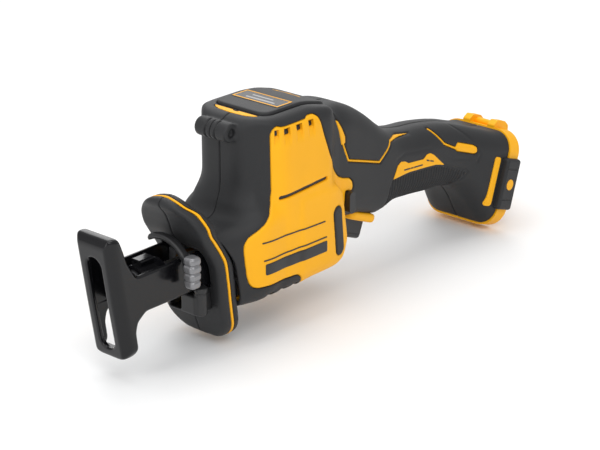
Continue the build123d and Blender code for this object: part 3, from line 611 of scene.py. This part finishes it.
def whole(f, lo, hi):
    """The two halves together, cropped to a box of x and z."""
    i0, i1 = (int(round((v - body.lo[0]) / H)) for v in (lo[0], hi[0]))
    k0, k1 = (int(round((v - body.lo[2]) / H)) for v in (lo[1], hi[1]))
    mid = int(round(-body.lo[1] / H))
    part = f[i0:i1 + 1, :, k0:k1 + 1]
    return (Field((lo[0], body.lo[1], lo[1]), (hi[0], -body.lo[1], hi[1]), H),
            np.concatenate([part[:, :mid + 1], part[:, :mid][:, ::-1]], axis=1))


cap = smax(smax(outer - CAP_RISE, cap_zone, 1.6), -1.15 - outer, 0.3)
cap_field, cap = whole(cap, (41, 74), (93, 90))
cast("top_cap", cap_field, cap, "grey_rubber", "housing", replace=("motor_cap",))


# ------------------------------------------------------------------ guard
G = Field((-16, -23, -29), (30, 23, 57), 0.4)
front_x, lean = guard_front(G.z)
outline = [(0, -27.0), (11, -26.6), (17.5, -22), (21.5, -15.5), (21.5, 40.5), (17.5, 46.5), (9, 52.5), (0, 54.5)]
outline = outline + [(-y, z) for y, z in outline[-2:0:-1]]
edge = blur(polygon(G.y[0, :, 0][:, None], G.z[0], outline), 2.2, 0.4, (0, 1))[None]
sheet = np.maximum((front_x - G.x) * lean, (G.x - front_x - GUARD_DEPTH) * lean)
plate = smax(sheet, edge, 3.6)
hollow = smax((front_x + 4.0 - G.x) * lean, edge + 4.5, 2.0)
hollow = np.maximum(hollow, rounded(G.y, G.z - 11.8, 16.8, 17.0, 5.0))
across = rounded(G.y, G.z - 15.0, 13.9, 11.4, 3.0)
lamp_hole = np.maximum(rounded(G.y - 0.6, G.z + 3.2, 4.0, 3.5, 1.0), G.x - 6.5)
line_zone = np.maximum(span((G.x - front_x) * lean, 5.0, 6.6), -edge - 1.6)
shell_form = smax(plate, -hollow, 0.8)
shell_form = smax(shell_form, -across, 1.2)
shell_form = smax(shell_form, -lamp_hole, 0.8)
shell_form = smax(shell_form, -(line_zone - 0.25), 0.5)
for name, side in (("left", 1), ("right", -1)):
    cast("guard_form_" + name, G, smax(shell_form, side * G.y + SEAM, 0.7), "grey_rubber", "housing",
         replace=("guard_" + name,))
line_form = smax(np.maximum(span((G.x - front_x) * lean, 5.0, 6.6), -edge - 1.6), edge - 0.1, 0.6)
cast("guard_line", G, np.maximum(line_form, -across), "yellow_nylon", "housing", replace=("guard_stripe",))

# ------------------------------------------------------------------ shoe
S = Field((-61, -13.5, -20.5), (24, 13.5, 50), 0.4)
profile = [(-49.5, -18.0), (-55.0, 14.0), (-59.5, 43.5), (-57.8, 48.2), (-52.5, 48.5), (-49.8, 42.0),
           (-47.0, 34.0), (-41.5, 25.0), (6.0, 25.0), (8.0, 22.0), (22.0, 22.0), (22.0, 5.0),
           (-35.5, 5.0), (-41.0, 1.0), (-42.3, -4.0), (-41.0, -13.0), (-43.0, -18.5)]
prof = blur(polygon(S.x[:, :, 0], S.z[0], profile), 1.1, 0.4, (0, 1))[:, None, :]
front_view = smax(np.abs(S.y) - 12.5, np.maximum(
    rounded(S.y, S.z - 8.5, 12.5, 40.0, 3.5), rounded(S.y, S.z - 21.5, 12.5, 40.0, 8.0)), 0.5)
bevel = (np.abs(S.y) * 5.5 - (S.x + 0.1638 * (S.z - 14) + 54.7) * 3.5 - 12.5 * 5.5 + 4.7 * 3.5)
bevel = bevel / math.hypot(5.5, 3.5)
form = smax(smax(prof, front_view, 1.8), bevel, 1.2)
room = [(-46.6, -15.2), (-52.3, 14.0), (-56.5, 43.0), (-55.0, 45.6), (-46, 46.5), (-40, 44), (-36, 7.4),
        (-38, -15.2)]
room = np.maximum(blur(polygon(S.x[:, :, 0], S.z[0], room), 0.8, 0.4, (0, 1))[:, None, :], np.abs(S.y) - 9.9)
form = smax(form, -room, 0.8)
form = smax(form, -np.maximum(np.maximum(np.abs(S.y) - 9.9, 7.0 - S.z), -50 - S.x), 0.8)
form = smax(form, -np.maximum(rounded(S.y, S.z - 12.0, 5.0, 25.0, 4.9), S.x + 46.0), 1.2)
cast("shoe_form", S, form, "black_steel", "housing", replace=("shoe",))


# ------------------------------------------------------------------ trigger and its collar
T = Field((105, -16, -14), (146, 16, 24), 0.4)
ttx = (T.x - 125.0) * math.cos(TILT) - (T.z - 5.2) * math.sin(TILT)
ttz = (T.x - 125.0) * math.sin(TILT) + (T.z - 5.2) * math.cos(TILT)
pull = smax(rounded(ttx, T.y, 10.5, 8.0, 3.0), span(ttz, -10.5, 12.0), 2.6)
pull = smax(pull, 8.5 - np.hypot(ttx + 15.5, ttz + 9.5), 1.8)
cast("trigger_form", T, pull, "black_plastic", "trigger", replace=("trigger",))
collar = smax(rounded(ttx, T.y, 13.0, 14.5, 6.0), span(ttz, 0.0, 5.0), 2.4)
collar = smax(collar, -rounded(ttx, T.y, 10.9, 8.4, 3.4), 0.8)
cast("collar_form", T, collar, "yellow_nylon", "housing", replace=("trigger_collar",))

# ------------------------------------------------------------------ blade release and lamp
R = Field((-19, -28, 8), (-4, 14, 38), 0.35)
from_axis = np.hypot(R.y, R.z - 16.0)
arch = smax(np.abs(from_axis - 17.9) - 1.5, span(R.x, -13.6, -8.8), 1.6)
arch = smax(arch, np.maximum(R.y - 9.0, np.minimum(12.0 - R.z, 40 - R.z)), 0.8)
arch = smax(arch, np.where(R.y > -2, 27.5 - R.z, -5), 0.8)
link = smax(np.maximum(span(R.y, -21.5, -15.6), span(R.z, 20.5, 27.5)), span(R.x, -13.6, -8.8), 1.2)
arch = np.maximum(smin(arch, link, 1.2), 16.4 - from_axis)
paddle = rounded(R.x + 13.0, R.y + 21.4, 3.75, 3.9, 2.6)
arch = smax(arch, -np.maximum(paddle - 0.08, span(R.z, 12.9, 29.6)), 0.3)
cast("release_arch", R, arch, "black_plastic", "release", replace=("release_ring",))
waist = sum(0.75 * np.exp(-((R.z - z) / 0.55) ** 2) for z in (17.2, 21.2, 25.4))
paddle = smax(paddle + waist + 0.05 * np.abs(R.z - 23.4), span(R.z, 13.0, 29.5), 2.0)
cast("release_grip", R, paddle, "lever_grey", "release", replace=("release_lever",))

L = Field((-6, -18.5, -10), (14, 8.5, 9), 0.35)
lamp_front, lamp_lean = guard_front(L.z)
block = smax(rounded(L.y + 3.5, L.z + 2.7, 10.0, 5.3, 1.6), span(L.x, -3.5, 12.0), 1.6)
barrel = np.hypot(L.x - 0.5, L.y + 13.6) - 3.2 + 0.35 * np.exp(-((L.z - 4.0) / 0.4) ** 2)
barrel = smax(barrel - 0.25 * (L.z > 4.2), span(L.z, -8.0, 7.0), 1.0)
block = smin(block, barrel, 0.8)
block = np.maximum(block, (L.x - lamp_front) * lamp_lean)
lamp_recess = np.maximum(rounded(L.y - 0.6, L.z + 3.2, 4.0, 3.5, 1.0), L.x - 6.5)
cast("lamp_block", L, smax(block, -lamp_recess, 0.8), "black_plastic", "housing", replace=("lamp_housing",))


# ------------------------------------------------------------------ thin pieces laid on a surface
def surface_tree(field, f):
    points, faces = net(field, f)
    return BVHTree.FromPolygons(points.tolist(), faces.tolist())


def stroke(points, width, closed=False):
    """Quads along a bent line with mitred corners."""
    n = len(points)
    left, right = [], []
    for i, (px, pz) in enumerate(points):
        ax, az = points[i - 1] if (i or closed) else (2 * px - points[1][0], 2 * pz - points[1][1])
        bx, bz = points[(i + 1) % n] if (i < n - 1 or closed) else (2 * px - ax, 2 * pz - az)
        d1 = Vector((px - ax, pz - az)).normalized()
        d2 = Vector((bx - px, bz - pz)).normalized()
        normal = Vector((-(d1.y + d2.y), d1.x + d2.x)).normalized()
        reach = width / 2 / max(normal.dot(Vector((-d1.y, d1.x))), 0.4)
        left.append((px + normal.x * reach, pz + normal.y * reach))
        right.append((px - normal.x * reach, pz - normal.y * reach))
    last = n if closed else n - 1
    return [[left[i], left[(i + 1) % n], right[(i + 1) % n], right[i]] for i in range(last)]


def round_corners(points, r, steps=4):
    out = []
    n = len(points)
    for i in range(n):
        p, a, b = (Vector(points[k % n]) for k in (i, i - 1, i + 1))
        da, db = (a - p), (b - p)
        cut = min(r, da.length * 0.45, db.length * 0.45)
        s, e = p + da.normalized() * cut, p + db.normalized() * cut
        for k in range(steps + 1):
            t = k / steps
            out.append(tuple((1 - t) ** 2 * s + 2 * t * (1 - t) * p + t * t * e))
    return out


def laid(name, outlines, tree, slot, lift=0.25, depth=0.6, body_name="housing", from_top=False, side=-1,
         step=1.2, replace=(), soft=0.12):
    """A thin closed piece of the given outlines, set on the surface a ray meets from the side or the top."""
    bm = bmesh.new()
    for outline in outlines:
        try:
            bm.faces.new([bm.verts.new((a, b, 0)) for a, b in outline])
        except ValueError:
            continue
    bmesh.ops.remove_doubles(bm, verts=bm.verts, dist=0.001)
    for axis in (0, 1):
        values = [v.co[axis] for v in bm.verts]
        count = int((max(values) - min(values)) / step)
        for k in range(1, count + 1):
            co, no = [0, 0, 0], [0, 0, 0]
            co[axis], no[axis] = min(values) + k * step - 0.013, 1
            bmesh.ops.bisect_plane(bm, geom=bm.verts[:] + bm.edges[:] + bm.faces[:], dist=0.001,
                                   plane_co=co, plane_no=no)
    bmesh.ops.triangulate(bm, faces=[f for f in bm.faces if len(f.verts) > 4])
    bm.verts.ensure_lookup_table()
    rim = {v.index for e in bm.edges if e.is_boundary for v in e.verts}
    ups = []
    for v in bm.verts:
        if from_top:
            hit = tree.ray_cast(Vector((v.co.x, v.co.y, 120)), Vector((0, 0, -1)))
        else:
            hit = tree.ray_cast(Vector((v.co.x, side * 60, v.co.y)), Vector((0, -side, 0)))
        ups.append((hit[0], hit[1]) if hit[0] is not None else None)
    top, bottom = [], []
    for i, u in enumerate(ups):
        if u is None:
            u = next((w for w in ups if w is not None), (Vector(), Vector((0, side, 0))))
        point, normal = u
        rise = lift - (soft if i in rim else 0)
        top.append(point + normal * rise)
        bottom.append(point + normal * (rise - depth))
    n = len(top)
    faces = []
    for f in bm.faces:
        ids = [v.index for v in f.verts]
        faces.append(ids)
        faces.append([i + n for i in reversed(ids)])
    for e in bm.edges:
        if e.is_boundary:
            a, b = (v.index for v in (e.link_loops[0].vert, e.link_loops[0].link_loop_next.vert))
            faces.append([b, a, a + n, b + n])
    flip = (not from_top) and side < 0
    if not flip and not from_top:
        faces = [f[::-1] for f in faces]
    bm.free()
    points = [tuple(p) for p in top + bottom]
    obj = mesh_object(name, points, faces, slot, body_name, replace=replace)
    settle(obj)
    return obj


skin_full = np.minimum(outer + 0.05, np.maximum(skin, -(window - 0.2)))
skin_full_field, skin_full = whole(skin_full, (14, -14), (232, 88))
body_tree = surface_tree(skin_full_field, skin_full)
cap_tree = surface_tree(cap_field, cap)

strip = round_corners([(33.0, 6.6), (33.0, 12.6), (79.0, 12.2), (79.0, 6.2)], 0.9)
badge_shape = round_corners(badge, 0.6, 2)
for name, side in (("left", -1), ("right", 1)):
    laid("name_plate_" + name, [strip], body_tree, "black_plastic", side=side,
         replace=("name_strip_" + name,))
    laid("badge_plate_" + name, [badge_shape], body_tree, "yellow_nylon", side=side, step=1.0, lift=0.35,
         replace=("grip_badge_" + name,))
    bars = stroke([(155.5, 27.3), (172.0, 26.0)], 0.9) + stroke([(175.0, 27.9), (182.0, 25.4)], 0.9)
    laid("badge_marks_" + name, bars, body_tree, "black_plastic", side=side, lift=0.47, depth=0.3)
    lines = stroke([(31.1, 24.4), (77.4, 23.2)], 0.7) + stroke([(32.0, 14.7), (78.7, 14.3)], 0.7)
    laid("plate_lines_" + name, lines, body_tree, "black_plastic", side=side, lift=0.24, depth=0.7, soft=0.04)

label = round_corners([(55.0, -15.8), (55.0, 15.8), (67.2, 15.8), (67.2, -15.8)], 0.8)
laid("top_label", [label], cap_tree, "black_plastic", from_top=True, lift=0.28, replace=("cap_label",))
frame_line = [(55.8, -15.0), (55.8, 15.0), (66.4, 15.0), (66.4, -15.0)]
laid("top_label_border", stroke(frame_line, 0.75, True), cap_tree, "yellow_nylon", from_top=True,
     lift=0.42, depth=0.4)
marks = stroke([(58.8, -10.5), (58.8, 9.0)], 1.5) + stroke([(62.4, -6.5), (62.4, 7.5)], 1.3)
laid("top_label_bars", marks, cap_tree, "lever_grey", from_top=True, lift=0.4, depth=0.3)
# painted shade: a black strip set down inside the side slot stands for the shade deep in the slot
slot_shade_outline = round_corners([(45.4, 43.2), (45.4, 44.9), (80.2, 46.9), (80.2, 45.2)], 0.7)
# painted shade: solid black plates set down inside the vents stand for the shade deep in the holes
vent_shade_outlines = [[(x0 + 0.1, 76.9), (x0 + 0.1, 79.8), (x1 - 0.1, 79.8), (x1 - 0.1, 76.9)] for x0, x1 in VENTS]
flat_field, flat_form = whole(outer, (34, 40), (84, 88))
flat_tree = surface_tree(flat_field, flat_form)
for name, side in (("left", -1), ("right", 1)):
    laid("slot_shade_strip_" + name, [slot_shade_outline], flat_tree, "black_plastic", side=side, lift=-1.3, depth=0.6)
    laid("vent_shade_plate_" + name, vent_shade_outlines, flat_tree, "black_plastic", side=side, lift=-2.0, depth=0.6)
laid("top_inlay", [crescent], flat_tree, "yellow_nylon", from_top=True, lift=0.0, depth=1.2,
     replace=("cap_inlays",))
arc = [(82.8 - 0.02 * (y - 1.5) ** 2, y) for y in np.linspace(-8, 11, 12)]
laid("cap_arc", stroke(arc, 0.7), cap_tree, "yellow_nylon", from_top=True, lift=0.15, depth=0.4)


# case screws, turned from one profile and set in from the far side
def turned(x, z, reach, sides=24):
    """A screw along y as rings of points about its axis."""
    profile = [(1.4, -8.0), (1.4, reach - 3), (2.6, reach - 3), (2.6, reach - 0.9), (2.3, reach - 0.6),
               (1.25, reach - 0.6), (1.25, reach - 1.9)]
    turn = [2 * math.pi * k / sides for k in range(sides)]
    points = [(x + r * math.cos(a), y, z + r * math.sin(a)) for r, y in profile for a in turn]
    faces = [(i + k, i + (k + 1) % sides, i + sides + (k + 1) % sides, i + sides + k)
             for i in range(0, (len(profile) - 1) * sides, sides) for k in range(sides)]
    last = (len(profile) - 1) * sides
    faces += [tuple(range(sides))[::-1], tuple(range(last, last + sides))]
    return points, faces


screw_points, screw_faces = [], []
for (sx, sz), reach in zip(screw_spots, (19.0, 21, 17, 13, 13, 17)):
    points, faces = turned(sx, sz, reach)
    screw_faces += [tuple(i + len(screw_points) for i in f[::-1]) for f in faces]
    screw_points += points
screw_set = mesh_object("screw_set", screw_points, screw_faces, "dark_steel", "housing",
                        replace=("case_screws",))
settle(screw_set)


# ------------------------------------------------------------------ stage, light and camera
lo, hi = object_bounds()
bpy.ops.mesh.primitive_plane_add(size=8, location=(0.1, 0, lo.z - 0.0008))
floor = bpy.context.object
floor.name = "floor"
pale = material("pale_floor", (0.93, 0.935, 0.94), 0.9, patch=0.02, patch_scale=3, spec=0.2)
floor.data.materials.append(pale)

world = bpy.data.worlds.new("studio")
bpy.context.scene.world = world
world.use_nodes = True
world.node_tree.nodes["Background"].inputs["Color"].default_value = (1, 1, 1, 1)
world.node_tree.nodes["Background"].inputs["Strength"].default_value = 0.6


def area(name, where, target, size, power):
    lamp = bpy.data.lights.new(name, "AREA")
    lamp.shape = "RECTANGLE"
    lamp.size, lamp.size_y = size
    lamp.energy = power
    obj = bpy.data.objects.new(name, lamp)
    bpy.context.scene.collection.objects.link(obj)
    obj.location = where
    obj.rotation_euler = (Vector(target) - Vector(where)).to_track_quat("-Z", "Y").to_euler()
    return obj


area("key", (-0.5, -0.9, 1.1), (0.1, 0, 0), (0.9, 0.9), 8)
area("top", (0.15, 0.2, 1.2), (0.1, 0, 0), (1.2, 0.8), 6)
area("side", (-1.2, 0.1, 0.5), (0.0, 0, 0.02), (0.5, 1.0), 4)
area("back", (1.0, 0.9, 0.7), (0.15, 0, 0), (0.8, 0.8), 4)

cam = bpy.data.cameras.new("camera")
cam.lens, cam.sensor_width = 120.0, 36.0
camera = bpy.data.objects.new("camera", cam)
bpy.context.scene.collection.objects.link(camera)
phi, elev = math.radians(48.5), math.radians(21.5)
back = Vector((-math.sin(phi) * math.cos(elev), -math.cos(phi) * math.cos(elev), math.sin(elev)))
camera.location = at(90, 0, 10) + back * 1.06
camera.rotation_mode = "QUATERNION"
camera.rotation_quaternion = (-back).to_track_quat("-Z", "Y")
cam.clip_start, cam.clip_end = 0.05, 50
bpy.context.scene.camera = camera
bpy.context.scene.view_settings.view_transform = "Standard"
